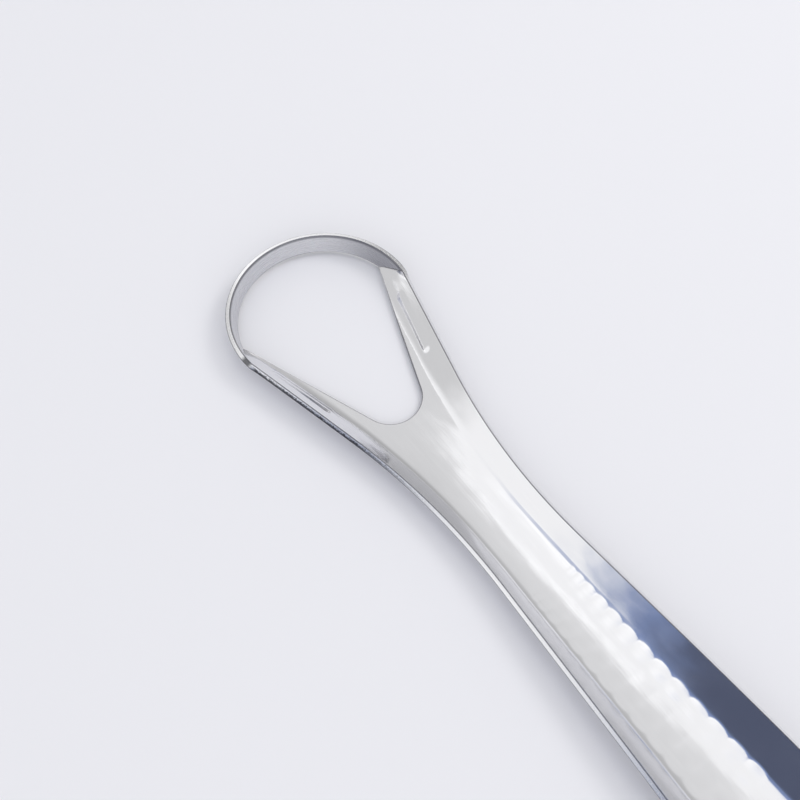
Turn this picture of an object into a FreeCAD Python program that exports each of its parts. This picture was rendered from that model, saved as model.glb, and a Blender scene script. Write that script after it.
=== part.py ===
# Tongue scraper: a trough-shaped pressed handle whose two arms carry an upright half-circle scraping band.
# Millimetres. X runs from the head to the tail, Z points up and the tool lies on the floor of its trough.
# While the pieces are built, X is counted from the centre of the loop; the finished pieces are then moved
# so that the origin lies on the table under the middle of the tool.
import FreeCAD, Part
import math
import os

from FreeCAD import Vector

# Whole tool
overall_length = 150.0
sheet = 0.8                      # thickness of the stainless sheet
head_height = 3.0                # rise of the band and of the arms beside it above the floor of the trough

# Scraping band
band_foot_radius = 13.4          # inner radius at the lower edge
band_lean = 17.0                 # degrees that the band flares outwards from upright

# Crease where the band meets each arm, in degrees from the front of the loop
crease_foot_angle = 76.0         # at the foot of the band, which is a corner of the opening
crease_rim_angle = 97.4          # at the rim

# Rounded end of the drop-shaped opening
loop_end_x = 17.35               # centre of the rounded end
loop_end_radius = 4.85

# Rim of the trough: straight along the arms and along the handle, with an arc at the waist
rim_taper = 13.85                # degrees that each arm closes in towards the waist
rim_at_grip = 8.7                # half-width at the far end of the grip
rim_flare = 3.4                  # degrees that each side of the handle opens towards the tail
rim_waist_radius = 102.0

# Foot of the flanks, which follows the rim inside it from the corners of the opening
floor_taper = 16.0
floor_at_grip = 5.0
floor_flare = 1.7
floor_waist_radius = 100.0

# Depth of the trough, the hollow of its floor and the bend between floor and flank
depth_at_waist = 2.6
depth_at_grip = 3.8
dish_at_loop = 0.05
dish_at_waist = 0.3
bend_at_loop = 1.2
bend_at_waist = 2.2
bend_at_grip = 4.5
waist_x = 34.0
grip_end_x = 88.0

# Stiffening bead pressed into each arm
bead_start_x = 4.4
bead_end_x = 14.2
bead_up_flank = 0.36             # place between the foot of the flank and its rim
bead_radius = 0.85
bead_height = 0.4

# Low grip ridges coined right across the floor, close together at first and soon further apart towards the tail
ridge_count = 13
ridge_first_x = 54.4             # start of the first ridge
ridge_first_pitch = 1.2
ridge_full_pitch = 3.5
ridge_settling = 0.74            # share of the missing pitch that is still missing one ridge on
ridge_gap = 0.1                  # flat between two ridges
ridge_slope = 7.0                # degrees that the side of a ridge rises at its edge
ridge_sink = 0.01                # how far the long edges of a ridge are sunk in the sheet

# Hanging hole
hole_radius = 2.0
hole_inset = 7.5                 # hole centre to the tip of the tail

# Spacing of the cross-sections and margin of the cutting shapes
section_step = 6.0
cut_margin = 2.0

# Sizes that follow
floor_top = sheet
lean = math.radians(band_lean)
band_foot_z = floor_top
band_rim_z = band_foot_z + head_height
band_rim_radius = band_foot_radius + head_height * math.tan(lean)
band_outer_radius = band_rim_radius + sheet * math.cos(lean)
band_reach = crease_rim_angle + math.degrees(cut_margin / band_foot_radius)
tail_x = overall_length - band_outer_radius
cut_top = floor_top + max(head_height, depth_at_grip) + cut_margin


def on_loop(radius, degrees, z):
    """Point of the right half of a circle about the loop, at an angle from its front."""
    turn = math.radians(degrees)
    return Vector(-radius * math.cos(turn), radius * math.sin(turn), z)


crease_foot = on_loop(band_foot_radius, crease_foot_angle, band_foot_z)
crease_rim = on_loop(band_rim_radius, crease_rim_angle, band_rim_z)
corner = on_loop(band_foot_radius, crease_foot_angle, 0)


def opening_side():
    """Point where the straight side that starts at the corner runs into the rounded end."""
    away = loop_end_x - corner.x
    reach = math.hypot(away, corner.y)
    turn = math.atan2(corner.y, away) - math.asin(loop_end_radius / reach)
    run = math.sqrt(reach ** 2 - loop_end_radius ** 2)
    return corner + Vector(run * math.cos(turn), -run * math.sin(turn), 0)


def waisted(arm_point, arm_slope, grip_point, grip_slope, radius):
    """Half-width at any x of an outline made of an arm line and a grip line with a tangent arc between."""
    meet_x = (grip_point[1] - arm_point[1] + arm_slope * arm_point[0] - grip_slope * grip_point[0])
    meet_x = meet_x / (arm_slope - grip_slope)
    arm_turn, grip_turn = math.atan(arm_slope), math.atan(grip_slope)
    setback = radius * math.tan((grip_turn - arm_turn) / 2)
    arc_start = meet_x - setback * math.cos(arm_turn)
    arc_end = meet_x + setback * math.cos(grip_turn)
    start_width = arm_point[1] + arm_slope * (arc_start - arm_point[0])
    centre_x = arc_start - radius * math.sin(arm_turn)
    centre_width = start_width + radius * math.cos(arm_turn)

    def half_width(x):
        if x < arc_start:
            return arm_point[1] + arm_slope * (x - arm_point[0])
        if x > arc_end:
            return grip_point[1] + grip_slope * (x - grip_point[0])
        return centre_width - math.sqrt(radius ** 2 - (x - centre_x) ** 2)

    return half_width


def ease(x, start_x, start, end_x, end):
    """Gentle change from one size to another between two places, level outside them."""
    along = min(max((x - start_x) / (end_x - start_x), 0), 1)
    return start + (end - start) * (1 - math.cos(math.pi * along)) / 2


side_end = opening_side()
rim_half = waisted((crease_rim.x, crease_rim.y), -math.tan(math.radians(rim_taper)),
                   (grip_end_x, rim_at_grip), math.tan(math.radians(rim_flare)), rim_waist_radius)
floor_half = waisted((corner.x, corner.y), -math.tan(math.radians(floor_taper)),
                     (grip_end_x, floor_at_grip), math.tan(math.radians(floor_flare)), floor_waist_radius)


def depth_at(x):
    """Height of the rim above the floor: least at the waist."""
    if x < waist_x:
        return ease(x, crease_rim.x, head_height, waist_x, depth_at_waist)
    return ease(x, waist_x, depth_at_waist, grip_end_x, depth_at_grip)


def flank_slope(x):
    """Angle of the flanks above level."""
    return math.atan2(depth_at(x), rim_half(x) - floor_half(x))


def flank_point(x, up):
    """Point on the upper face of the right flank, at a share of the way from its foot to its rim."""
    width = floor_half(x) + up * (rim_half(x) - floor_half(x))
    return Vector(x, width, floor_top + up * depth_at(x))


def bend_at(x):
    """Radius of the bend between floor and flank: it grows all the way."""
    if x < waist_x:
        return ease(x, crease_rim.x, bend_at_loop, waist_x, bend_at_waist)
    return ease(x, waist_x, bend_at_waist, grip_end_x, bend_at_grip)


def trough_arcs(x):
    """Radius of the hollow floor, then centre of the right bend and its slope at the floor.

    The bend's circle touches the circle of the floor from inside and the line of the flank.
    """
    slope, half, bend = flank_slope(x), floor_half(x), bend_at(x)
    dish = ease(x, crease_rim.x, dish_at_loop, waist_x, dish_at_waist)
    floor_radius = (half ** 2 + dish ** 2) / (2 * dish)
    start_y = half - bend * math.sin(slope)
    start_z = bend * math.cos(slope)
    away = floor_radius * math.sin(slope) - half * math.cos(slope)
    gap = start_y ** 2 + (start_z - floor_radius) ** 2 - (floor_radius - bend) ** 2
    along = away - math.sqrt(away ** 2 - gap)
    centre_y = start_y + along * math.cos(slope)
    centre_z = start_z + along * math.sin(slope)
    return floor_radius, centre_y, centre_z, math.atan2(centre_y, floor_radius - centre_z)


def section(x):
    """Closed cross-section of the trough: hollow floor, two bends and two flanks, one sheet thick."""
    slope = flank_slope(x)
    floor_radius, centre_y, centre_z, start_turn = trough_arcs(x)
    rim_y, rim_z = rim_half(x), depth_at(x)

    def half_face(side, below):
        radius = bend_at(x) + below
        points = [(centre_y + radius * math.sin(turn), centre_z - radius * math.cos(turn))
                  for turn in (start_turn, (start_turn + slope) / 2, slope)]
        points.append((rim_y + below * math.sin(slope), rim_z - below * math.cos(slope)))
        return [Vector(x, side * y, floor_top + z) for y, z in points]

    def face_edges(below):
        left, right = half_face(-1, below), half_face(1, below)
        lowest = Vector(x, 0, floor_top - below)
        return [Part.LineSegment(left[3], left[2]).toShape(),
                Part.Arc(left[2], left[1], left[0]).toShape(),
                Part.Arc(left[0], lowest, right[0]).toShape(),
                Part.Arc(right[0], right[1], right[2]).toShape(),
                Part.LineSegment(right[2], right[3]).toShape()]

    def rim_edge(side):
        return Part.LineSegment(half_face(side, 0)[3], half_face(side, sheet)[3]).toShape()

    return Part.Wire(face_edges(0) + [rim_edge(1)] + face_edges(sheet)[::-1] + [rim_edge(-1)])


def trough_loft(start_x, end_x):
    """Smooth trough between two places."""
    steps = math.ceil((end_x - start_x) / section_step)
    places = [start_x + (end_x - start_x) * index / steps for index in range(steps + 1)]
    return Part.makeLoft([section(x) for x in places], True)


def ridge_spans():
    """Start and end of each ridge."""
    spans = []
    start = ridge_first_x
    for index in range(ridge_count):
        pitch = ridge_full_pitch - (ridge_full_pitch - ridge_first_pitch) * ridge_settling ** index
        spans.append((start, start + pitch - ridge_gap))
        start += pitch
    return spans


def ridge_bar(start_x, end_x):
    """Bar with a crowned top that follows the floor from bend to bend, sunk in the sheet but for its crown."""
    middle_x = (start_x + end_x) / 2
    crown = (end_x - start_x) / 2 * math.tan(math.radians(ridge_slope) / 2)
    height = crown - ridge_sink
    floor_radius, _, _, start_turn = trough_arcs(middle_x)
    past_floor = math.sqrt(2 * height / (1 / bend_at(middle_x) - 1 / floor_radius)) + ridge_gap
    reach = math.degrees(start_turn + past_floor / floor_radius)

    def place(x, rise):
        return Vector(x, 0, floor_top + rise)

    corners = [place(start_x, -sheet / 2), place(start_x, -ridge_sink),
               place(end_x, -ridge_sink), place(end_x, -sheet / 2)]
    top = Part.Arc(corners[1], place(middle_x, height), corners[2]).toShape()
    sides = [Part.LineSegment(corners[a], corners[b]).toShape() for a, b in ((0, 1), (2, 3), (3, 0))]
    profile = Part.Face(Part.Wire([sides[0], top, sides[1], sides[2]]))
    floor_axis = Vector(0, 0, floor_top + floor_radius)
    profile.rotate(floor_axis, Vector(1, 0, 0), -reach)
    return profile.revolve(floor_axis, Vector(1, 0, 0), 2 * reach)


def drop_prism():
    """Upright prism of the drop-shaped opening."""
    mirrored = Vector(corner.x, -corner.y, 0)
    front = Part.Arc(corner, Vector(-band_foot_radius, 0, 0), mirrored).toShape()
    low_end = Vector(side_end.x, -side_end.y, 0)
    tip = Vector(loop_end_x + loop_end_radius, 0, 0)
    edges = [front, Part.LineSegment(mirrored, low_end).toShape(),
             Part.Arc(low_end, tip, side_end).toShape(), Part.LineSegment(side_end, corner).toShape()]
    face = Part.Face(Part.Wire(edges))
    face.translate(Vector(0, 0, -cut_margin))
    return face.extrude(Vector(0, 0, cut_margin + cut_top))


def seam_block(side, on_band_side):
    """Block that ends at the mitre between the band and one arm, which halves the turn of the sheet."""
    crease = crease_rim - crease_foot
    middle = (crease_foot + crease_rim) / 2
    outward = Vector(middle.x, middle.y, 0).normalize()
    band_normal = Vector(0, 0, math.sin(lean)) - outward * math.cos(lean)
    along_arm = flank_point(bead_start_x, bead_up_flank) - middle
    arm_normal = crease.cross(along_arm).normalize()
    if arm_normal.z < 0:
        arm_normal = -arm_normal
    towards_arm = crease.cross(band_normal + arm_normal).normalize()
    if towards_arm.x < 0:
        towards_arm = -towards_arm
    size = 2 * (crease.Length + cut_margin)
    block = Part.makeBox(size, size, size, Vector(-size / 2, -size / 2, 0))
    facing = -towards_arm if on_band_side else towards_arm
    block.Placement = FreeCAD.Placement(middle, FreeCAD.Rotation(Vector(0, 0, 1), facing))
    return block if side > 0 else block.mirror(Vector(0, 0, 0), Vector(0, 1, 0))


def capsule(start, end, radius):
    """Round bar with ball ends."""
    along = end - start
    bar = Part.makeCylinder(radius, along.Length, start, along)
    return bar.fuse([Part.makeSphere(radius, start), Part.makeSphere(radius, end)])


def press_bead(body, side):
    """Raise a bead on the upper face of one arm and press the same shape into its back."""
    start, end = [flank_point(x, bead_up_flank) for x in (bead_start_x, bead_end_x)]
    slope = flank_slope((bead_start_x + bead_end_x) / 2)
    up = Vector(0, -math.sin(slope), math.cos(slope))
    sunk = up * (bead_height - bead_radius)
    bead = capsule(start + sunk, end + sunk, bead_radius)
    dent = capsule(start + sunk - up * sheet, end + sunk - up * sheet, bead_radius)
    if side < 0:
        bead = bead.mirror(Vector(0, 0, 0), Vector(0, 1, 0))
        dent = dent.mirror(Vector(0, 0, 0), Vector(0, 1, 0))
    return body.fuse(bead).cut(dent)


def tail_trim():
    """What is cut away to round the tail to a half circle as wide as the handle there."""
    half_width = rim_half(tail_x) + sheet * math.sin(flank_slope(tail_x))
    radius = half_width / (1 + math.tan(math.radians(rim_flare)))
    centre = Vector(tail_x - radius, 0, -cut_margin)
    height = cut_margin + cut_top
    reach = half_width + cut_margin
    block = Part.makeBox(radius + cut_margin, 2 * reach, height, centre - Vector(0, reach, 0))
    return block.cut(Part.makeCylinder(radius, height, centre))


def handle():
    """Pressed trough with arms, beads, ridged grip, rounded tail and hanging hole."""
    body = trough_loft(corner.x, tail_x).fuse([ridge_bar(start_x, end_x) for start_x, end_x in ridge_spans()])
    body = body.cut(drop_prism())
    for side in (1, -1):
        body = body.cut(seam_block(side, True))
        body = press_bead(body, side)
    body = body.cut(tail_trim())
    hole = Part.makeCylinder(hole_radius, sheet + 2 * cut_margin,
                             Vector(tail_x - hole_inset, 0, -cut_margin))
    return body.cut(hole)


def scraper_band():
    """Flared strip revolved about the centre of the loop and mitred to both arms."""
    inner_foot = Vector(-band_foot_radius, 0, band_foot_z)
    inner_rim = Vector(-band_rim_radius, 0, band_rim_z)
    outer_rim = inner_rim + Vector(-math.cos(lean), 0, -math.sin(lean)) * sheet
    outer_foot = inner_foot - Vector(sheet / math.cos(lean), 0, 0)
    strip = Part.Face(Part.makePolygon([inner_foot, inner_rim, outer_rim, outer_foot, inner_foot]))
    strip.rotate(Vector(0, 0, 0), Vector(0, 0, 1), -band_reach)
    body = strip.revolve(Vector(0, 0, 0), Vector(0, 0, 1), 2 * band_reach)
    for side in (1, -1):
        body = body.cut(seam_block(side, False))
    return body


os.makedirs("parts", exist_ok=True)
to_origin = Vector(overall_length / 2 - tail_x, 0, 0)
for name, shape in (("scraper_band", scraper_band()), ("handle", handle())):
    shape.translate(to_origin)
    shape.exportStep("parts/" + name + ".step")
    print(name, "solids", len(shape.Solids), "faces", len(shape.Faces), "valid", shape.isValid(),
          "volume %.1f" % shape.Volume, shape.BoundBox)
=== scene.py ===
# %% [markdown]
# # Tongue scraper
# This tool is one strip of stainless steel, blanked and pressed. A low upright band runs round the front
# of a drop-shaped opening, and it is creased into two arms. Behind the opening the arms flow together
# into a trough-shaped handle with grip ridges. The lesson loads the solids first, so that every later
# piece has a place and a size to keep to, and then builds the two visible skins over them.

# %% Load the frame
import math

import bpy
import numpy as np
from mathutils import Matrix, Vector


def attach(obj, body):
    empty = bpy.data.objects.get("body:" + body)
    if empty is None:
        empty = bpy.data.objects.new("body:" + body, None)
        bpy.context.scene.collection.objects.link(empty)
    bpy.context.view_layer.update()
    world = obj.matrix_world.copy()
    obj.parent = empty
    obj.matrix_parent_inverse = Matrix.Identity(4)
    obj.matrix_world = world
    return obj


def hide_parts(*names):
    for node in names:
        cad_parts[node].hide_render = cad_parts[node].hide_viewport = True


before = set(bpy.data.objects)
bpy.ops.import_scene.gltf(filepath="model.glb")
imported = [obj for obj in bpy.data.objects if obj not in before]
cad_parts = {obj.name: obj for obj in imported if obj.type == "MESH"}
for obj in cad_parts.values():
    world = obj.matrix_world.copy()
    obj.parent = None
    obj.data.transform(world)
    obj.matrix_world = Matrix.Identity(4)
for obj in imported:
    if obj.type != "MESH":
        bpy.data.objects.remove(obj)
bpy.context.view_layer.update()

# %% [markdown]
# ## Camera
# The picture looks down on the tool from its left side, close by, so that the tail runs out of the frame.
# A camera could be turned by hand until the outlines agree. Here its place and direction are plain
# numbers that were worked out from the outline of the loop, because every mirror image on the steel
# depends on them.

# %% Camera
MM = 0.001
CAMERA_PLACE = Vector((28.236, -51.619, 150.537)) * MM
CAMERA_BACK = Vector((0.40052, -0.30270, 0.86485))     # against the direction of view

camera_data = bpy.data.cameras.new("studio_camera")
camera_data.sensor_width = 36.0
camera_data.lens = 51.75
camera_data.clip_start = 0.01
camera = bpy.data.objects.new("studio_camera", camera_data)
bpy.context.collection.objects.link(camera)
camera.location = CAMERA_PLACE
camera.rotation_euler = CAMERA_BACK.to_track_quat("Z", "Y").to_euler()
bpy.context.scene.camera = camera
print("camera height in mm:", round(camera.location.z / MM, 1))

# %% [markdown]
# ## The outline of the sheet
# Seen from above, each side of the tool is two straight lines with a large arc between them, once for the
# rim and once for the foot of the flank. The sizes follow those of the solids, in millimetres, and x is
# counted from the centre of the loop. Only the bends, the ridges and the beads are a little softer here,
# and the foot of the flank is a little further in along the grip, because the reflections ask for it.

# %% Head of the tool
HEAD_HEIGHT = 3.0
FOOT_RADIUS = 13.4
LEAN = math.radians(17.0)
RIM_RADIUS = FOOT_RADIUS + HEAD_HEIGHT * math.tan(LEAN)
CREASE_FOOT, CREASE_RIM = 76.0, 97.4    # degrees from the front of the loop


def on_loop(radius, degrees):
    """Point of a circle about the loop, seen from above, at an angle from its front."""
    turn = math.radians(degrees)
    return np.array((-radius * math.cos(turn), radius * math.sin(turn)))


corner = on_loop(FOOT_RADIUS, CREASE_FOOT)
rim_start = on_loop(RIM_RADIUS, CREASE_RIM)
print("crease from", corner.round(2), "to", rim_start.round(2))

# %% Straight lines with an arc between them
WAIST_X, GRIP_END_X = 34.0, 88.0
RIM_TAPER, RIM_FLARE, RIM_ARC = 13.85, 3.4, 102.0       # two angles in degrees and a radius
FOOT_TAPER, FOOT_FLARE, FOOT_ARC = 16.0, 1.5, 100.0
GRIP_RIM, GRIP_FOOT = (GRIP_END_X, 8.7), (GRIP_END_X, 4.8)


def waisted(arm, taper, grip, flare, radius):
    """Half-width at any x of an outline that closes in along the arm and opens again along the grip."""
    arm_turn, grip_turn = -math.radians(taper), math.radians(flare)
    arm_slope, grip_slope = math.tan(arm_turn), math.tan(grip_turn)
    meet = (grip[1] - arm[1] + arm_slope * arm[0] - grip_slope * grip[0]) / (arm_slope - grip_slope)
    setback = radius * math.tan((grip_turn - arm_turn) / 2)
    first, last = meet - setback * math.cos(arm_turn), meet + setback * math.cos(grip_turn)
    centre_x = first - radius * math.sin(arm_turn)
    centre_y = arm[1] + arm_slope * (first - arm[0]) + radius * math.cos(arm_turn)

    def half_width(x):
        if x < first:
            return arm[1] + arm_slope * (x - arm[0])
        if x > last:
            return grip[1] + grip_slope * (x - grip[0])
        return centre_y - math.sqrt(radius ** 2 - (x - centre_x) ** 2)

    return half_width


rim_half = waisted(rim_start, RIM_TAPER, GRIP_RIM, RIM_FLARE, RIM_ARC)
foot_half = waisted(corner, FOOT_TAPER, GRIP_FOOT, FOOT_FLARE, FOOT_ARC)
print("rim at the waist:", round(rim_half(WAIST_X), 2), "foot:", round(foot_half(WAIST_X), 2))

# %% [markdown]
# ## The section of the trough
# Cut across, the sheet has a slightly hollow floor, a bend and a straight flank. All three are tangent,
# because polished steel shows every kink as a line in its reflections. A curve with a bevel or a lattice
# could give such a trough, but a height for each point, worked out from the arcs, keeps the surface exact.

# %% Section across the trough
WAIST_DEPTH, GRIP_DEPTH = 2.6, 3.8
HEAD_BEND, WAIST_BEND, GRIP_BEND = 3.0, 1.7, 3.0        # radii between floor and flank
HEAD_DISH, WAIST_DISH = 0.05, 0.3                       # how hollow the floor is


def ease(x, start_x, start, end_x, end):
    """Gentle change from one size to another."""
    along = min(max((x - start_x) / (end_x - start_x), 0), 1)
    return start + (end - start) * (1 - math.cos(math.pi * along)) / 2


def trough(x):
    """Arcs across the trough at one place along it."""
    if x < WAIST_X:
        depth = ease(x, rim_start[0], HEAD_HEIGHT, WAIST_X, WAIST_DEPTH)
        bend = ease(x, rim_start[0], HEAD_BEND, WAIST_X, WAIST_BEND)
    else:
        depth = ease(x, WAIST_X, WAIST_DEPTH, GRIP_END_X, GRIP_DEPTH)
        bend = ease(x, WAIST_X, WAIST_BEND, GRIP_END_X, GRIP_BEND)
    dish = ease(x, rim_start[0], HEAD_DISH, WAIST_X, WAIST_DISH)
    half = foot_half(x)
    slope = math.atan2(depth, rim_half(x) - half)
    floor = (half ** 2 + dish ** 2) / (2 * dish)
    start_y, start_z = half - bend * math.sin(slope), bend * math.cos(slope)
    away = floor * math.sin(slope) - half * math.cos(slope)
    gap = start_y ** 2 + (start_z - floor) ** 2 - (floor - bend) ** 2
    along = away - math.sqrt(away ** 2 - gap)
    centre_y, centre_z = start_y + along * math.cos(slope), start_z + along * math.sin(slope)
    return {"slope": slope, "half": half, "floor": floor, "bend": bend, "y": centre_y, "z": centre_z,
            "turn": math.atan2(centre_y, floor - centre_z)}


def plain_height(x, y):
    """Height of the plain trough above its lowest line."""
    t = trough(x)
    y = abs(y)
    if y > t["y"] + t["bend"] * math.sin(t["slope"]):
        return (y - t["half"]) * math.tan(t["slope"])
    if y > t["y"] + t["bend"] * math.sin(t["turn"]):
        return t["z"] - math.sqrt(t["bend"] ** 2 - (y - t["y"]) ** 2)
    return t["floor"] - math.sqrt(t["floor"] ** 2 - y ** 2)


print("flank angle at the end of the grip:", round(math.degrees(trough(GRIP_END_X)["slope"]), 1))

# %% [markdown]
# ## Grip ridges and beads
# A row of low ridges is coined across the floor of the grip. Each has a crowned top and follows the
# hollow of the floor, so that it dies out where the bends rise past it, and it is worn almost flat in the
# middle of the floor. They stand close together at first and further apart towards the tail. Each arm
# also has one long, soft bead that stiffens it. The bead is pressed through the sheet, so it shows as a
# hollow on the underside, and the ridges are too low for that.

# %% Grip ridges
RIDGE_COUNT, RIDGES_FROM = 13, 54.4
FIRST_PITCH, LAST_PITCH, PITCH_CHANGE = 1.2, 3.5, 0.74
RIDGE_SLOPE, RIDGE_GAP, RIDGE_SINK = math.radians(5.5), 0.1, 0.004
NO_RIDGE = -0.2                         # stands for places without a ridge
WORN_FROM, WORN_TO, WORN_LEFT = 3.2, 0.8, 0.1    # two distances from the middle line and the share left
RIDGE_BLEND, BLEND_REACH = 0.006, 0.1

ridges = []
ridge_start = RIDGES_FROM
for index in range(RIDGE_COUNT):
    pitch = LAST_PITCH - (LAST_PITCH - FIRST_PITCH) * PITCH_CHANGE ** index
    half_ridge = (pitch - RIDGE_GAP) / 2
    ridges.append((ridge_start + half_ridge, half_ridge, half_ridge * math.tan(RIDGE_SLOPE / 2)))
    ridge_start += pitch
print("ridges from", round(ridges[0][0], 1), "to", round(ridges[-1][0], 1))


def crown(x):
    """Height of the nearest ridge over the floor, negative between the ridges."""
    middle, half_ridge, height = min(ridges, key=lambda ridge: abs(x - ridge[0]) / ridge[1])
    return max(height * (1 - ((x - middle) / half_ridge) ** 2) - RIDGE_SINK, NO_RIDGE)


def ridge_rise(x, y):
    """How far a ridge stands above the plain trough, blended over about a hundredth of a millimetre."""
    top = crown(x)
    if top <= NO_RIDGE:
        return 0.0
    floor = trough(x)["floor"]
    over = floor - math.sqrt((floor - top) ** 2 - y ** 2) - plain_height(x, y)
    if over <= -BLEND_REACH:
        return 0.0
    kept = ease(abs(y), WORN_TO, WORN_LEFT, WORN_FROM, 1.0)
    return kept * (over + math.hypot(over, RIDGE_BLEND)) / 2


# %% Stiffening beads
BEAD_FROM_X, BEAD_TO_X, BEAD_UP = 4.4, 14.2, 0.36       # two places along the arm and a share up the flank
BEAD_HALF, BEAD_HEIGHT = 1.1, 0.14


def flank_point(x, up):
    """Point on the right flank, at a share of the way from its foot to its rim."""
    y = foot_half(x) + up * (rim_half(x) - foot_half(x))
    return np.array((x, y, plain_height(x, y)))


bead_line = flank_point(BEAD_FROM_X, BEAD_UP), flank_point(BEAD_TO_X, BEAD_UP)


def bead_rise(point):
    """How far the bead stands up from the flank at a point of it."""
    start, end = bead_line
    run = end - start
    share = min(max(np.dot(point - start, run) / np.dot(run, run), 0), 1)
    away = np.linalg.norm(point - start - share * run)
    return ease(away, 0.0, BEAD_HEIGHT, BEAD_HALF, 0.0)


print("bead length in mm:", round(float(np.linalg.norm(bead_line[1] - bead_line[0])), 1))

# %% [markdown]
# ## Rows across the handle
# The skin is laid out as rows. Each row starts at the inner edge, which is the opening, the middle line or
# the hanging hole, and ends at the rim or at the round of the tail. Near the round ends the rows fan out,
# so that the edges stay smooth circles. Only the right half is laid out, and the left half is its mirror
# image.

# %% Inner and outer ends of the rows
SHEET = 0.8                             # thickness, the same everywhere
TAIL_X = 134.9178                       # tip of the tail
END_X, END_RADIUS = 17.35, 4.85         # round end of the opening
HOLE_INSET, HOLE_RADIUS = 7.5, 2.0
HOLE_X = TAIL_X - HOLE_INSET
tail_slope = trough(TAIL_X)["slope"]
tail_half = rim_half(TAIL_X) + SHEET * math.sin(tail_slope)
TAIL_RADIUS = tail_half / (1 + math.tan(math.radians(RIM_FLARE)))
TAIL_CENTRE = TAIL_X - TAIL_RADIUS


def outer_end(x):
    """Rim, or the round of the tail beyond its centre, with the direction into the sheet."""
    step = 0.01
    y = rim_half(x)
    if x > TAIL_CENTRE:
        arc = math.sqrt(max(TAIL_RADIUS ** 2 - (x - TAIL_CENTRE) ** 2, 0))
        if arc < y:
            inward = np.array((TAIL_CENTRE - x, -arc)) / TAIL_RADIUS
            return np.array((x, arc)), inward
    slope = (rim_half(x + step) - rim_half(x - step)) / (2 * step)
    return np.array((x, y)), np.array((slope, -1)) / math.hypot(slope, 1)


away = END_X - corner[0]
reach = math.hypot(away, corner[1])
side_turn = math.atan2(corner[1], away) - math.asin(END_RADIUS / reach)
side_run = math.sqrt(reach ** 2 - END_RADIUS ** 2)
side_way = np.array((math.cos(side_turn), -math.sin(side_turn)))
side_in = np.array((math.sin(side_turn), math.cos(side_turn)))
print("straight side of the opening in mm:", round(side_run, 1), "tail radius:", round(TAIL_RADIUS, 2))

# %% Lay out the rows beside the opening
SIDE_ROWS, END_ROWS = 90, 36
SIDE_TO, END_TO = 21.0, 28.0            # x at the rim where the rows of the side and of the round end stop


def spread(first, last, count):
    """Evenly spread numbers without the last one."""
    return [first + (last - first) * index / count for index in range(count)]


rows = []                       # inner end, its direction into the sheet or None, outer end, its direction
for share in spread(0, 1, SIDE_ROWS):
    inner = corner + side_way * side_run * share
    outer_x = rim_start[0] + (SIDE_TO - rim_start[0]) * share
    rows.append((inner, side_in) + outer_end(outer_x))
for share in spread(0, 1, END_ROWS):
    turn = (math.pi / 2 - side_turn) * (1 - share)
    way = np.array((math.cos(turn), math.sin(turn)))
    outer_x = SIDE_TO + (END_TO - SIDE_TO) * share
    rows.append((np.array((END_X, 0)) + END_RADIUS * way, way) + outer_end(outer_x))
tip_x = END_X + END_RADIUS
rows.append((np.array((tip_x, 0)), np.array((1.0, 0))) + outer_end(END_TO))
tip_row = len(rows) - 1
print("rows beside the opening:", len(rows))

# %% Lay out the rows behind the opening
NECK_ROWS, GRIP_ROWS, TAIL_ROWS, HOLE_ROWS = 90, 300, 80, 72
GRIP_FROM, GRIP_TO = 53.0, 92.0         # closest rows, over the ridges
TIP_GAP, HOLE_GAP, HOLE_LAG = 0.5, 0.3, 0.2
FAN = 20.0                              # length over which the rows straighten behind the opening

middle_from, middle_to = tip_x + TIP_GAP, HOLE_X - HOLE_RADIUS - HOLE_GAP
places = spread(middle_from, GRIP_FROM, NECK_ROWS)
places += spread(GRIP_FROM, GRIP_TO, GRIP_ROWS)
places += spread(GRIP_TO, middle_to, TAIL_ROWS)
for x in places:
    lead = (END_TO - tip_x) * max(0, 1 - (x - tip_x) / FAN) ** 2
    lag = (middle_to + HOLE_LAG - TAIL_CENTRE) * max(0, (x - GRIP_TO) / (middle_to - GRIP_TO)) ** 2
    rows.append((np.array((x, 0)), None) + outer_end(x + lead - lag))
for share in [index / HOLE_ROWS for index in range(HOLE_ROWS + 1)]:
    turn = math.pi * (1 - share)
    way = np.array((math.cos(turn), math.sin(turn)))
    outer_x = TAIL_CENTRE + TAIL_RADIUS * math.sin(math.pi / 2 * share)
    rows.append((np.array((HOLE_X, 0)) + HOLE_RADIUS * way, way) + outer_end(outer_x))
print("rows:", len(rows))

# %% [markdown]
# ## Skin of the handle
# Each row is a ring round the sheet: the upper face, the cut edge at the rim, the lower face, and the cut
# edge at the opening where there is one. The edges are broken with a small radius, because a sharp edge
# would never catch the light. A Solidify and a Bevel modifier could do this, but they would round the
# crease as well.

# %% Through the sheet and round its edge
COLUMNS, ARC, EDGE = 48, 4, 0.12        # steps across a face, steps round a corner, radius of a corner


def normal_at(x, y):
    """Upward normal of the plain trough."""
    step = 0.02
    across = (plain_height(x, y + step) - plain_height(x, y - step)) / (2 * step)
    along = (plain_height(x + step, y) - plain_height(x - step, y)) / (2 * step)
    return np.array((-along, -across, 1)) / math.sqrt(along ** 2 + across ** 2 + 1)


def crease_point(share):
    """Point of the crease, at a share of the way from its foot to its rim."""
    radius = FOOT_RADIUS + share * (RIM_RADIUS - FOOT_RADIUS)
    plan = on_loop(radius, CREASE_FOOT + share * (CREASE_RIM - CREASE_FOOT))
    return np.array((plan[0], plan[1], share * HEAD_HEIGHT))


def band_normal(point):
    """Normal of the inner face of the band: inwards and a little up."""
    outward = np.array((point[0], point[1], 0)) / math.hypot(point[0], point[1])
    return np.array((0, 0, math.sin(LEAN))) - outward * math.cos(LEAN)


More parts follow.
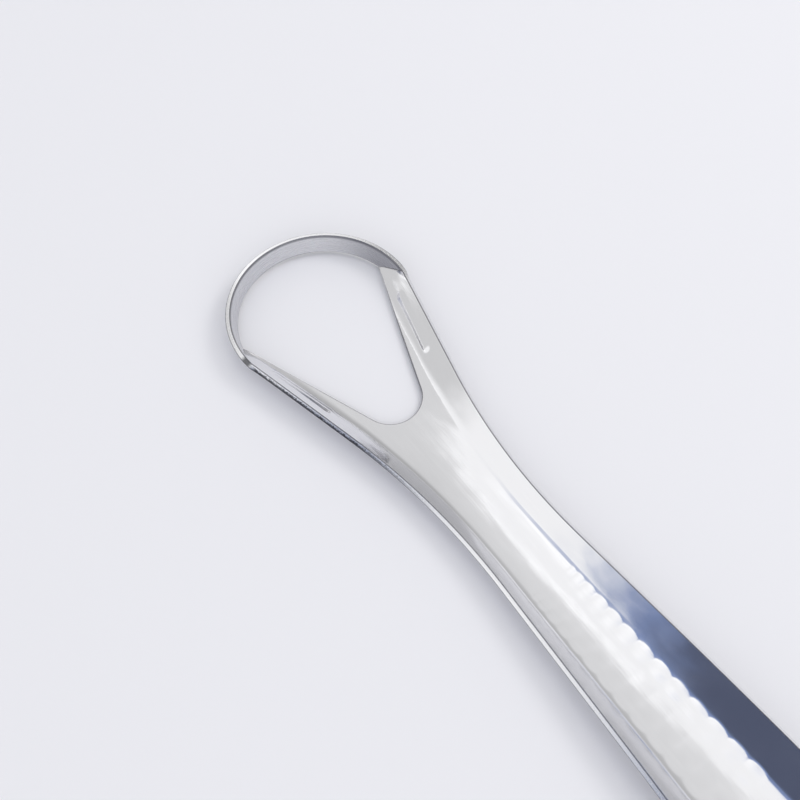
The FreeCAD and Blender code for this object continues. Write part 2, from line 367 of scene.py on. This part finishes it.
def mitre(point, normal):
    """Step through the sheet along the crease, as long as keeps both faces one sheet apart."""
    band_way = band_normal(point)
    return (band_way + normal) / (1 + np.dot(band_way, normal))


def edge_ring(point, into, through):
    """Cut edge of the sheet from its upper to its lower face, with both corners rounded."""
    upper, lower = [], []
    for index in range(ARC):
        turn = math.pi / 2 * (index + 1) / ARC
        inset, drop = EDGE * (1 - math.sin(turn)), EDGE * (1 - math.cos(turn))
        upper.append(point + into * inset - through * drop)
        lower.append(point + into * inset - through * (SHEET - drop))
    return upper + lower[::-1]


print("points across one face:", COLUMNS + 1)

# %% All rings of the right half
CREASE_BLEND = 12               # rows behind the crease that ease from the band's end to the plain trough


def ring(index):
    """Points of one row: upper face, outer edge, lower face, and the inner edge if there is one."""
    inner, inner_way, outer, outer_way = rows[index]
    fade = max(0, 1 - index / CREASE_BLEND) ** 2
    upper, lower, through = [], [], []
    for column in range(COLUMNS + 1):
        share = column / COLUMNS
        plan = inner + (outer - inner) * share
        normal = normal_at(*plan)
        if column == 0 and inner_way is not None:
            plan = plan + inner_way * EDGE
        if column == COLUMNS:
            plan = plan + outer_way * EDGE * normal[2]
        point = np.array((plan[0], plan[1], plain_height(*plan)))
        if fade > 0:
            crease = crease_point(share)
            straight = rows[0][0] + (rows[0][2] - rows[0][0]) * share
            shift = crease - np.array((straight[0], straight[1], plain_height(*crease[:2])))
            point = point + shift * fade
            normal = normal * (1 - fade) + mitre(crease, normal) * fade
        rise = bead_rise(point) if index < tip_row else 0.0
        coined = ridge_rise(*plan) if inner_way is None else 0.0
        upper.append(point + normal * (rise + coined))
        lower.append(point + normal * (rise - SHEET))
        through.append(normal)

    def edge(column, way):
        """Cut edge at one end of the row, square to the sheet."""
        climb = -(through[column][0] * way[0] + through[column][1] * way[1]) / through[column][2]
        into = np.array((way[0], way[1], climb)) / math.sqrt(1 + climb ** 2)
        return edge_ring(upper[column] - into * EDGE, into, through[column])

    points = upper + edge(COLUMNS, outer_way) + lower[::-1]
    return points + (edge(0, inner_way)[::-1] if inner_way is not None else [])


rings = [ring(index) for index in range(len(rows))]
print("points of the right half:", sum(len(points) for points in rings))

# %% Join the rings of the right half
FACE_LOOP = 2 * (COLUMNS + 1) + 2 * ARC     # points of a ring without its inner edge


def edge_kind(step, columns):
    """0 on a face of the sheet, 1 on the sheared rim, 2 on its rounded corners and on the inner edge."""
    if step == columns + ARC:
        return 1
    return 2 if columns <= step <= columns + 2 * ARC or step > 2 * (columns + ARC) else 0


starts, points = [], []
for row in rings:
    starts.append(len(points))
    points += row
faces, on_cut = [], []
for row in range(len(rows) - 1):
    closed = rows[row][1] is not None and rows[row + 1][1] is not None
    around = len(rings[row])
    here, there = starts[row], starts[row + 1]
    for step in range(around if closed else FACE_LOOP - 1):
        after = (step + 1) % around
        faces.append((here + step, there + step, there + after, here + after))
        on_cut.append(edge_kind(step, COLUMNS))
for step in range(COLUMNS):
    faces.append((step, step + 1, FACE_LOOP - 2 - step, FACE_LOOP - 1 - step))
faces.append(tuple(range(COLUMNS, COLUMNS + 2 * ARC + 2)))
faces.append(tuple(range(FACE_LOOP - 1, len(rings[0]))) + (0,))
on_cut += [0] * (COLUMNS + 2)
print("faces of the right half:", len(faces))

# %% [markdown]
# A number at each point says how deep it lies in the cut edge, from 0 at the upper face to 1 at the lower
# one. The finish of the edge reads it later.

# %% Mirror the half and make the handle
LOOP_X = -59.9178               # centre of the loop, counted from the middle of the tool
FLOOR_TOP = 0.8                 # lowest line of the trough over the table
ON_MIDDLE = 1e-6
SHARP = math.radians(35)


def to_frame(point):
    """From millimetres about the loop to metres about the middle of the tool."""
    return ((point[0] + LOOP_X) * MM, point[1] * MM, (point[2] + FLOOR_TOP) * MM)


def mesh_piece(name, vertices, faces, edge_faces):
    """Object with smooth faces, creased where they meet at a sharp angle."""
    mesh = bpy.data.meshes.new(name)
    mesh.from_pydata(vertices, [], faces)
    mesh.validate()
    mesh.polygons.foreach_set("use_smooth", [True] * len(mesh.polygons))
    mesh.polygons.foreach_set("material_index", edge_faces)
    mesh.set_sharp_from_angle(angle=SHARP)
    piece = bpy.data.objects.new(name, mesh)
    bpy.context.collection.objects.link(piece)
    print(name, "vertices", len(mesh.vertices), "faces", len(mesh.polygons))
    return piece


mirrored = {}
vertices = [to_frame(point) for point in points]
depths = [float(COLUMNS + ARC < step < FACE_LOOP + ARC) for row in rings for step in range(len(row))]
for index, point in enumerate(points):
    if abs(point[1]) < ON_MIDDLE:
        mirrored[index] = index
    else:
        mirrored[index] = len(vertices)
        vertices.append(to_frame(point * np.array((1, -1, 1))))
        depths.append(depths[index])
faces += [tuple(mirrored[index] for index in reversed(face)) for face in faces]
handle = mesh_piece("pressed_handle", vertices, faces, on_cut * 2)
depth_in_cut = handle.data.attributes.new("depth_in_cut", "FLOAT", "POINT")
depth_in_cut.data.foreach_set("value", depths)
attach(handle, "root")
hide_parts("handle")

# %% [markdown]
# ## Scraping band
# The band is the working edge of the tool: a strip of the same sheet that stands up round the front of the
# loop and flares outwards a little. Its ends are not square, because the crease runs slantwise down to the
# corner of the opening. The strip is laid out by angle and height, and its last points are the points of
# the crease.

# %% Rings of the band
BAND_STEPS, BAND_COLUMNS = 160, 20
MITRE_FROM = 0.9                # share of the way to the crease where the strip starts to turn to the mitre


def band_ring(turn):
    """Ring round the strip, from -1 at the left crease to 1 at the right one."""
    upper, through = [], []
    for column in range(BAND_COLUMNS + 1):
        share = column / BAND_COLUMNS
        crease = crease_point(share)
        radius = FOOT_RADIUS + share * (RIM_RADIUS - FOOT_RADIUS)
        plan = on_loop(radius, turn * (CREASE_FOOT + share * (CREASE_RIM - CREASE_FOOT)))
        point = np.array((plan[0], plan[1], share * HEAD_HEIGHT))
        normal = band_normal(point)
        if abs(turn) > MITRE_FROM:
            offset = mitre(crease, normal_at(*crease[:2])) * np.array((1, math.copysign(1, turn), 1))
            part = ((abs(turn) - MITRE_FROM) / (1 - MITRE_FROM)) ** 2
            normal = normal * (1 - part) + offset * part
        upper.append(point)
        through.append(normal)
    up = upper[-1] - upper[0]
    up = up / np.linalg.norm(up)
    upper[0], upper[-1] = upper[0] + up * EDGE, upper[-1] - up * EDGE
    lower = [point - SHEET * normal for point, normal in zip(upper, through)]
    top = edge_ring(upper[-1] + up * EDGE, -up, through[-1])
    bottom = edge_ring(upper[0] - up * EDGE, up, through[0])
    return upper + top + lower[::-1] + bottom[::-1]


band_rings = [band_ring(-1 + 2 * index / BAND_STEPS) for index in range(BAND_STEPS + 1)]
around = len(band_rings[0])
print("points round the strip:", around)

# %% Make the band
vertices = [to_frame(point) for row in band_rings for point in row]
faces, on_cut = [], []
for row in range(BAND_STEPS):
    here, there = row * around, (row + 1) * around
    for step in range(around):
        after = (step + 1) % around
        faces.append((here + step, here + after, there + after, there + step))
        on_cut.append(edge_kind(step, BAND_COLUMNS))
last = BAND_STEPS * around
faces += [tuple(reversed(range(around))), tuple(range(last, last + around))]
on_cut += [0, 0]
band = mesh_piece("scraping_band", vertices, faces, on_cut)
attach(band, "root")
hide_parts("scraper_band")

# %% [markdown]
# ## Floor
# The tool lies on a plain pale table of matt laminate. A large plane is enough, and it only has to take
# the soft shadow.

# %% Colours, nodes and materials


def linear(hex_colour):
    """Linear colour from an sRGB hex value."""
    parts = [int(hex_colour[index:index + 2], 16) / 255 for index in (1, 3, 5)]
    return [p / 12.92 if p <= 0.04045 else ((p + 0.055) / 1.055) ** 2.4 for p in parts] + [1.0]


def add(nodes, kind, links=None, **settings):
    """Node with its settings, its fixed inputs and the sockets that feed it."""
    node = nodes.new(kind)
    for name, value in settings.items():
        setattr(node, name, value)
    for name, source in (links or {}).items():
        if isinstance(source, bpy.types.NodeSocket):
            nodes.id_data.links.new(source, node.inputs[name])
        else:
            node.inputs[name].default_value = source
    return node


def new_material(name):
    """Empty node material and its nodes."""
    material = bpy.data.materials.new(name)
    material.use_nodes = True
    nodes = material.node_tree.nodes
    nodes.clear()
    return material, nodes


print("mid grey in linear light:", round(linear("#808080")[0], 3))

# %% Floor
FLOOR_HALF = 1.5                # metres

floor_corners = [(x * FLOOR_HALF, y * FLOOR_HALF, 0) for x, y in ((-1, -1), (1, -1), (1, 1), (-1, 1))]
floor_mesh = bpy.data.meshes.new("table_top")
floor_mesh.from_pydata(floor_corners, [], [(0, 1, 2, 3)])
floor = bpy.data.objects.new("table_top", floor_mesh)
bpy.context.collection.objects.link(floor)
floor_paint, nodes = new_material("matt_white_laminate")
shader = add(nodes, "ShaderNodeBsdfPrincipled", {"Base Color": linear("#EEEDEF"), "Roughness": 0.9,
                                                 "Specular IOR Level": 0.0})
add(nodes, "ShaderNodeOutputMaterial", {"Surface": shader.outputs["BSDF"]})
floor_mesh.materials.append(floor_paint)
print("table top in metres:", 2 * FLOOR_HALF)

# %% [markdown]
# ## Polished stainless steel
# The handle is barrel-polished stainless steel. It mirrors its surroundings, a little blurred by fine
# lines that run along the tool, and the blur changes softly from place to place. An image of scratches
# could be wrapped round it, but stretched noise gives lines without a repeat. The lines are about 0.05 mm
# apart on such a tool. They are drawn 0.15 mm apart here, because finer ones would not show. Pressing also
# leaves the sheet a little wavy, by hundredths of a millimetre, which makes the edges of its reflections
# waver.

# %% Polished stainless steel
LINE_SPACING, BLUR_PATCH, WAVE = 0.15, 5.0, 2.5         # millimetres
LINE_DEPTH, WAVE_DEPTH = 0.02, 0.065                    # millimetres

steel, nodes = new_material("polished_stainless_steel")
place = add(nodes, "ShaderNodeTexCoord")
drawn_out = add(nodes, "ShaderNodeMapping", {"Vector": place.outputs["Object"], "Scale": (0.02, 1.0, 1.0)})
lines = add(nodes, "ShaderNodeTexNoise", {"Vector": drawn_out.outputs["Vector"],
                                          "Scale": 1 / (LINE_SPACING * MM), "Detail": 3.0, "Roughness": 0.6})
patches = add(nodes, "ShaderNodeTexNoise", {"Vector": place.outputs["Object"],
                                            "Scale": 1 / (BLUR_PATCH * MM), "Detail": 2.0})
blur = add(nodes, "ShaderNodeMapRange", {"Value": patches.outputs["Fac"], "From Min": 0.3, "From Max": 0.7,
                                         "To Min": 0.07, "To Max": 0.13})
tone = add(nodes, "ShaderNodeMix", {"Factor": lines.outputs["Fac"], "A": linear("#E2E2E5"),
                                    "B": linear("#E7E7E9")}, data_type="RGBA")
stretched = add(nodes, "ShaderNodeMapping", {"Vector": place.outputs["Object"], "Scale": (0.35, 1.0, 1.0)})
waves = add(nodes, "ShaderNodeTexNoise", {"Vector": stretched.outputs["Vector"], "Scale": 1 / (WAVE * MM),
                                          "Detail": 1.0})
wavy = add(nodes, "ShaderNodeBump", {"Height": waves.outputs["Fac"], "Strength": 1.0,
                                     "Distance": WAVE_DEPTH * MM})
relief = add(nodes, "ShaderNodeBump", {"Height": lines.outputs["Fac"], "Strength": 0.3,
                                       "Distance": LINE_DEPTH * MM, "Normal": wavy.outputs["Normal"]})
shader = add(nodes, "ShaderNodeBsdfPrincipled", {"Base Color": tone.outputs["Result"], "Metallic": 1.0,
                                                 "Roughness": blur.outputs["Result"],
                                                 "Normal": relief.outputs["Normal"]})
add(nodes, "ShaderNodeOutputMaterial", {"Surface": shader.outputs["BSDF"]})
print(steel.name, "nodes", len(nodes))

# %% [markdown]
# ## Satin stainless steel
# The band keeps the rolled and belt-ground face of the sheet. Its grain runs round the loop, so the shader
# needs to know the way round. A UV map in millimetres gives that, measured along the strip and up it. The
# strip is painted darker towards the right crease, as painted shade, and a painted dark reflection runs as a
# line under its top edge.

# %% Way round the band
way_round = band.data.uv_layers.new(name="way_round")
for loop in band.data.loops:
    x, y, z = band.data.vertices[loop.vertex_index].co / MM
    way_round.data[loop.index].uv = (math.atan2(y, LOOP_X - x) * FOOT_RADIUS, z)
print("length of the band in mm:", round(2 * math.radians(CREASE_FOOT) * FOOT_RADIUS, 1))

# %% Satin stainless steel
GRAIN, GRAIN_LENGTH, GRAIN_DEPTH = 0.25, 6.0, 0.03      # millimetres across, along and into the face
# Painted shade towards the right crease, and a painted dark reflection line under the top edge.
RIGHT_SHADE_FROM, RIGHT_SHADE_TO = 7.0, 19.0                  # millimetres from the front, to the right
TOP_REFLECTION_FROM, TOP_REFLECTION_TO = 3.25, 3.6                          # millimetres over the table

satin, nodes = new_material("satin_stainless_steel")
place = add(nodes, "ShaderNodeUVMap", uv_map="way_round")
grain_place = add(nodes, "ShaderNodeMapping", {"Vector": place.outputs["UV"],
                                               "Scale": (1 / GRAIN_LENGTH, 1 / GRAIN, 1.0)})
grain = add(nodes, "ShaderNodeTexNoise", {"Vector": grain_place.outputs["Vector"], "Scale": 1.0,
                                          "Detail": 4.0, "Roughness": 0.65})
blur = add(nodes, "ShaderNodeMapRange", {"Value": grain.outputs["Fac"], "From Min": 0.3, "From Max": 0.7,
                                         "To Min": 0.2, "To Max": 0.34})
tone = add(nodes, "ShaderNodeMix", {"Factor": grain.outputs["Fac"], "A": linear("#C2C2C6"),
                                    "B": linear("#E6E6E8")}, data_type="RGBA")
ways = add(nodes, "ShaderNodeSeparateXYZ", {"Vector": place.outputs["UV"]})
# Painted shade darkens the strip towards the right crease, and a painted dark reflection line runs under the
# top edge.
for way, start, end, most, dark in (("X", RIGHT_SHADE_FROM, RIGHT_SHADE_TO, 0.75, "#8E8E94"),
                                    ("Y", TOP_REFLECTION_FROM, TOP_REFLECTION_TO, 0.8, "#6A6A70")):
    darker = add(nodes, "ShaderNodeMapRange", {"Value": ways.outputs[way], "From Min": start,
                                               "From Max": end, "To Max": most},
                 interpolation_type="SMOOTHSTEP")
    tone = add(nodes, "ShaderNodeMix", {"Factor": darker.outputs["Result"], "A": tone.outputs["Result"],
                                        "B": linear(dark)}, data_type="RGBA")
relief = add(nodes, "ShaderNodeBump", {"Height": grain.outputs["Fac"], "Strength": 0.25,
                                       "Distance": GRAIN_DEPTH * MM})
shader = add(nodes, "ShaderNodeBsdfPrincipled", {"Base Color": tone.outputs["Result"], "Metallic": 1.0,
                                                 "Roughness": blur.outputs["Result"],
                                                 "Normal": relief.outputs["Normal"]})
add(nodes, "ShaderNodeOutputMaterial", {"Surface": shader.outputs["BSDF"]})
print(satin.name, "nodes", len(nodes))

# %% [markdown]
# ## Cut edges
# A sheared edge is burnished bright where the blade went in, and torn dark and ragged where the sheet
# broke off below that. The depth in the cut tells the two apart. The dark lower part is partly the torn
# edge and partly painted shade, the contact shadow under the rim, so it shows on the left side of the loop.
# The edge carries a painted dark reflection where the crease turns it. The rounded corners beside the rim
# and the punched edge of the opening get a darker tone, which draws the thin dark outline round the tool.
# Both are the same steel, so one loop makes them with two tones.

# %% Sheared and unpolished stainless edges
TEAR = 0.2                              # millimetres, as are the places and lengths below
# Where the dark lower part fades in along the tool: partly real tearing, partly painted contact shadow.
TEAR_SHADE_FADED, TEAR_SHADE_FULL = -22.0, -38.0
BAND_END, ARM_START = -58.0, -57.0
# Painted dark reflection where the crease turns the edge.
CREASE_REFLECTION_AT, CREASE_REFLECTION_EDGE, CREASE_REFLECTION_CORE = -59.0, 1.3, 0.4
# The torn part, the painted shade and the painted dark reflection are kept to the left side, where the
# shadow falls.
LEFT_FROM, LEFT_TO = 0.0, -1.0
RAGGEDNESS = 2.0                        # how much the tears move the border of the torn part

edges = []
for name, bright, dark in (("sheared_stainless_edge", "#E6E6E8", "#3A3A3F"),
                           ("dark_outline_stainless_edge", "#86868B", "#4C4C51")):
    cut, nodes = new_material(name)
    place = add(nodes, "ShaderNodeTexCoord")
    parts = add(nodes, "ShaderNodeSeparateXYZ", {"Vector": place.outputs["Object"]})
    tears = add(nodes, "ShaderNodeTexNoise", {"Vector": place.outputs["Object"], "Scale": 1 / (TEAR * MM),
                                              "Detail": 2.0})
    depth = add(nodes, "ShaderNodeAttribute", attribute_name="depth_in_cut")
    ragged = add(nodes, "ShaderNodeMath", {0: tears.outputs["Fac"], 1: RAGGEDNESS, 2: depth.outputs["Fac"]},
                 operation="MULTIPLY_ADD")
    # Dark marks that are partly the torn edge and partly painted shade.
    tear_and_shade_marks = add(nodes, "ShaderNodeMapRange", {"Value": ragged.outputs["Value"], "From Min": 1.3,
                                              "From Max": 1.55, "To Max": 0.92})
    tear_and_painted_dark = tear_and_shade_marks.outputs["Result"]
    for start, end in ((TEAR_SHADE_FADED, TEAR_SHADE_FULL), (BAND_END, ARM_START)):
        beside_loop = add(nodes, "ShaderNodeMapRange", {"Value": parts.outputs["X"], "From Min": start * MM,
                                                        "From Max": end * MM})
        tear_and_painted_dark = add(nodes, "ShaderNodeMath", {0: tear_and_painted_dark, 1: beside_loop.outputs["Result"]},
                   operation="MULTIPLY").outputs["Value"]
    # Painted dark reflection at the crease.
    from_crease = add(nodes, "ShaderNodeMath", {0: parts.outputs["X"], 1: CREASE_REFLECTION_AT * MM},
                      operation="SUBTRACT")
    from_crease = add(nodes, "ShaderNodeMath", {0: from_crease.outputs["Value"]}, operation="ABSOLUTE")
    crease_reflection = add(nodes, "ShaderNodeMapRange", {"Value": from_crease.outputs["Value"],
                                               "From Min": CREASE_REFLECTION_EDGE * MM, "From Max": CREASE_REFLECTION_CORE * MM,
                                               "To Max": 0.85}, interpolation_type="SMOOTHSTEP")
    tear_and_painted_dark = add(nodes, "ShaderNodeMath", {0: tear_and_painted_dark, 1: crease_reflection.outputs["Result"]}, operation="MAXIMUM")
    # Kept to the left side, where the painted shade falls.
    left = add(nodes, "ShaderNodeMapRange", {"Value": parts.outputs["Y"], "From Min": LEFT_FROM * MM,
                                             "From Max": LEFT_TO * MM})
    tear_and_painted_dark = add(nodes, "ShaderNodeMath", {0: tear_and_painted_dark.outputs["Value"], 1: left.outputs["Result"]},
               operation="MULTIPLY")
    tone = add(nodes, "ShaderNodeMix", {"Factor": tear_and_painted_dark.outputs["Value"], "A": linear(bright),
                                        "B": linear(dark)}, data_type="RGBA")
    blur = add(nodes, "ShaderNodeMapRange", {"Value": tears.outputs["Fac"], "From Min": 0.3, "From Max": 0.7,
                                             "To Min": 0.22, "To Max": 0.3})
    shader = add(nodes, "ShaderNodeBsdfPrincipled", {"Base Color": tone.outputs["Result"], "Metallic": 1.0,
                                                     "Roughness": blur.outputs["Result"]})
    add(nodes, "ShaderNodeOutputMaterial", {"Surface": shader.outputs["BSDF"]})
    edges.append(cut)
    print(cut.name, "nodes", len(nodes))
for piece, face in ((handle, steel), (band, satin)):
    for material in [face] + edges:
        piece.data.materials.append(material)

# %% [markdown]
# ## Light tent
# Polished steel looks like whatever stands round it, so the surroundings are part of the finish. The tool
# lies in a pale tent: a large bright panel overhead and to the left, a softer wall on the right, and a
# dark gap where the camera looks in. Lamps and cards could be set up for each, but a world that is painted
# by direction is simpler. Two numbers name a direction: how far it leans along the tool, and its turn
# across it, from straight up to a side.

# %% Directions in the tent
DEG = math.pi / 180

world = bpy.data.worlds.new("light_tent")
bpy.context.scene.world = world
world.use_nodes = True
nodes = world.node_tree.nodes
nodes.clear()
direction = add(nodes, "ShaderNodeTexCoord")
parts = add(nodes, "ShaderNodeSeparateXYZ", {"Vector": direction.outputs["Generated"]})
lengthwise = parts.outputs["X"]
crosswise = add(nodes, "ShaderNodeMath", {0: parts.outputs["Y"], 1: parts.outputs["Z"]},
                operation="ARCTAN2").outputs["Value"]
print(world.name, "nodes so far:", len(nodes))

# %% [markdown]
# Each part of the tent starts and ends softly. The table below names these soft steps. It gives the
# number they follow, where they start and end, and the level before and after.

# %% Soft steps
CAMERA_DARK = 0.06              # most that the camera itself darkens the tent

SOFT_STEPS = (
    ("panel_edge", lengthwise, -0.47, -0.27, 2.3 * DEG, 21 * DEG),
    ("overhead", lengthwise, -0.50, -0.62, 1.12, 0.75),
    ("overhead_glow_right", crosswise, 10 * DEG, 2 * DEG, 0.0, 1.0),
    ("overhead_glow_left", crosswise, -45 * DEG, -20 * DEG, 0.0, 1.0),
    ("overhead_glow_front", lengthwise, -0.36, -0.20, 0.0, 0.28),
    ("panel_seam", lengthwise, -0.12, -0.04, 0.3, -0.3),
    ("far_end", lengthwise, 0.12, 0.40, 0.0, 0.2),
    ("side_wall", crosswise, 18 * DEG, 66 * DEG, 0.9, 0.59),
    ("wall_front", lengthwise, -0.27, -0.36, 0.0, -0.08),
    ("front_end", lengthwise, -0.55, -0.75, 0.0, 0.5),
    ("skirting", crosswise, -74 * DEG, -87 * DEG, 0.0, 0.6),
    ("skirting_front", lengthwise, -0.30, -0.40, 0.0, 1.0),
    ("gap_front", lengthwise, -0.17, 0.02, 0.0, 1.0),
    ("gap_back", lengthwise, 0.32, 0.16, 0.0, 1.0),
    ("gap_top", crosswise, 10 * DEG, -34 * DEG, 0.0, 1.0),
    ("gap_foot", crosswise, -130 * DEG, -100 * DEG, 0.0, 1.0),
    ("camera_right", crosswise, 4 * DEG, -10 * DEG, 0.0, CAMERA_DARK),
    ("camera_left", crosswise, -36 * DEG, -26 * DEG, 0.0, 1.0),
    ("camera_front", lengthwise, -0.40, -0.16, 0.0, 1.0),
)
steps = {}
for name, value, start, end, before, behind in SOFT_STEPS:
    soft = add(nodes, "ShaderNodeMapRange", {"Value": value, "From Min": start, "From Max": end,
                                             "To Min": before, "To Max": behind},
               interpolation_type="SMOOTHSTEP")
    steps[name] = soft.outputs["Result"]
print("soft steps:", len(steps))

# %% Bright panel
past_edge = add(nodes, "ShaderNodeMath", {0: crosswise, 1: steps["panel_edge"]}, operation="SUBTRACT")
on_panel = add(nodes, "ShaderNodeMapRange", {"Value": past_edge.outputs["Value"], "From Min": 1 * DEG,
                                             "From Max": -1 * DEG}, interpolation_type="SMOOTHSTEP")
hot_edge = add(nodes, "ShaderNodeMapRange", {"Value": past_edge.outputs["Value"], "From Min": -1 * DEG,
                                             "From Max": -4 * DEG, "To Min": steps["panel_seam"],
                                             "To Max": 0.0}, interpolation_type="SMOOTHSTEP")
skirting = add(nodes, "ShaderNodeMath", {0: steps["skirting"], 1: steps["skirting_front"],
                                         2: steps["overhead"]}, operation="MULTIPLY_ADD")
glow = add(nodes, "ShaderNodeMath", {0: steps["overhead_glow_right"], 1: steps["overhead_glow_left"]},
           operation="MULTIPLY")
glow = add(nodes, "ShaderNodeMath", {0: glow.outputs["Value"], 1: steps["overhead_glow_front"],
                                     2: hot_edge.outputs["Result"]}, operation="MULTIPLY_ADD")
panel = add(nodes, "ShaderNodeMath", {0: skirting.outputs["Value"], 1: glow.outputs["Value"]},
            operation="ADD")
print("nodes up to the panel:", len(nodes))

# %% Side wall
wall = add(nodes, "ShaderNodeMath", {0: steps["side_wall"], 1: steps["wall_front"]}, operation="ADD")
wall = add(nodes, "ShaderNodeMath", {0: wall.outputs["Value"], 1: steps["front_end"]}, operation="ADD")
light = add(nodes, "ShaderNodeMix", {"Factor": on_panel.outputs["Result"], "A": wall.outputs["Value"],
                                     "B": panel.outputs["Value"]})
light = add(nodes, "ShaderNodeMath", {0: light.outputs["Result"], 1: steps["far_end"]}, operation="ADD")
pale = add(nodes, "ShaderNodeCombineColor", {channel: light.outputs["Value"]
                                             for channel in ("Red", "Green", "Blue")})
print("nodes up to the wall:", len(nodes))

# %% Dark gap round the camera
gap = steps["gap_front"]
for name in ("gap_back", "gap_top", "gap_foot"):
    gap = add(nodes, "ShaderNodeMath", {0: gap, 1: steps[name]}, operation="MULTIPLY").outputs["Value"]
body = steps["camera_right"]
for name in ("camera_left", "camera_front"):
    body = add(nodes, "ShaderNodeMath", {0: body, 1: steps[name]}, operation="MULTIPLY").outputs["Value"]
gap = add(nodes, "ShaderNodeMath", {0: gap, 1: body}, operation="MAXIMUM")
shade = add(nodes, "ShaderNodeMapRange", {"Value": body, "From Max": CAMERA_DARK, "To Max": 0.45})
tent = add(nodes, "ShaderNodeMix", {"Factor": shade.outputs["Result"], "A": pale.outputs["Color"],
                                    "B": linear("#B9BBC6")}, data_type="RGBA").outputs["Result"]
for colour, start, end in (("#8FA2CE", 0.0, 0.1), ("#596076", 0.08, 0.85)):
    into_gap = add(nodes, "ShaderNodeMapRange", {"Value": gap.outputs["Value"], "From Min": start,
                                                 "From Max": end}, interpolation_type="SMOOTHSTEP")
    tent = add(nodes, "ShaderNodeMix", {"Factor": into_gap.outputs["Result"], "A": tent,
                                        "B": linear(colour)}, data_type="RGBA").outputs["Result"]
print("nodes up to the gap:", len(nodes))

# %% Tent for the steel, plain backdrop for the camera
seen = add(nodes, "ShaderNodeLightPath")
tent_light = add(nodes, "ShaderNodeBackground", {"Color": tent, "Strength": 1.0})
backdrop = add(nodes, "ShaderNodeBackground", {"Color": linear("#ECECF1"), "Strength": 1.0})
both = add(nodes, "ShaderNodeMixShader", {0: seen.outputs["Is Camera Ray"],
                                          1: tent_light.outputs["Background"],
                                          2: backdrop.outputs["Background"]})
add(nodes, "ShaderNodeOutputWorld", {"Surface": both.outputs["Shader"]})
print("tent nodes:", len(nodes))

# %% [markdown]
# ## Side lamp
# The tent alone gives an even light. One soft lamp beyond the right side adds a quiet shadow along the
# left side of the tool. It is kept out of the reflections, where it would show as a square.

# %% Side lamp
lamp_data = bpy.data.lights.new("side_softbox", "AREA")
lamp_data.size = 0.22
lamp_data.energy = 0.74
lamp = bpy.data.objects.new("side_softbox", lamp_data)
bpy.context.collection.objects.link(lamp)
lamp.location = (0.05, 0.45, 0.45)
lamp.rotation_euler = lamp.location.to_track_quat("Z", "Y").to_euler()
lamp.visible_glossy = False
print("lamp power in watts:", lamp_data.energy)

# %% [markdown]
# ## Picture settings
# The Standard view shows each colour about as it is written.

# %% Picture settings
bpy.context.scene.view_settings.view_transform = "Standard"
